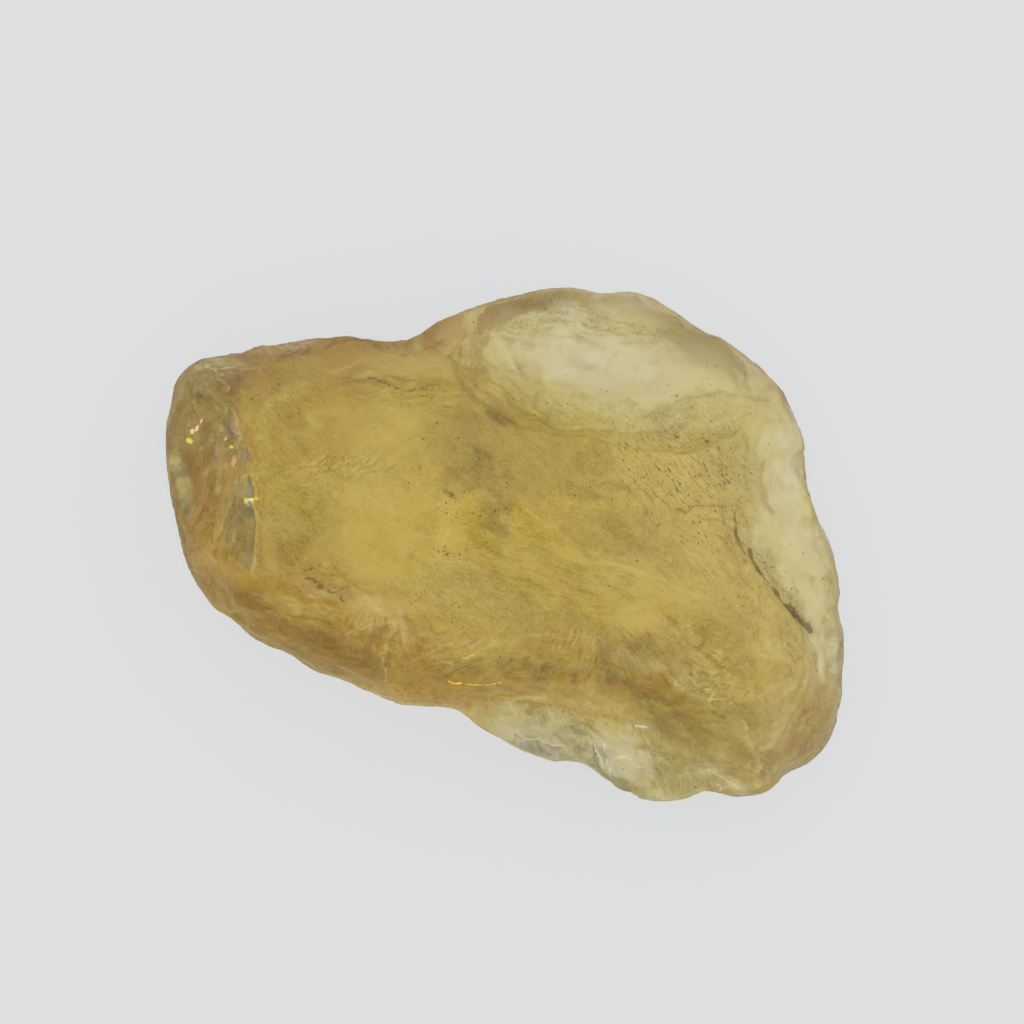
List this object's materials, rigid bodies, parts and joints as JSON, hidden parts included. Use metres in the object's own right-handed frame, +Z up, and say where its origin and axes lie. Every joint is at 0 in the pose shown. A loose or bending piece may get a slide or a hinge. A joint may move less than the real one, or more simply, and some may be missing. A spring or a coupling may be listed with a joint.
{
  "type": "rough citrine",
  "caption": "Rough golden-yellow citrine: one broken, see-through quartz stone with a flat-topped body, hollow fracture faces and sharp ridges, for display, set dressing or lapidary scenes.",
  "frame": {"origin": "middle of the stone's box, on the surface that it rests on", "axes": "+X along the stone's length, towards its broader end; +Z up, out of its broken flat top"},
  "size_m": [0.0424, 0.0322, 0.0165],
  "materials": {
    "citrine": "clear golden quartz with a frosted, finely broken skin"
  },
  "bodies": {
    "root": {"citrine": "citrine"}
  },
  "joints": []
}
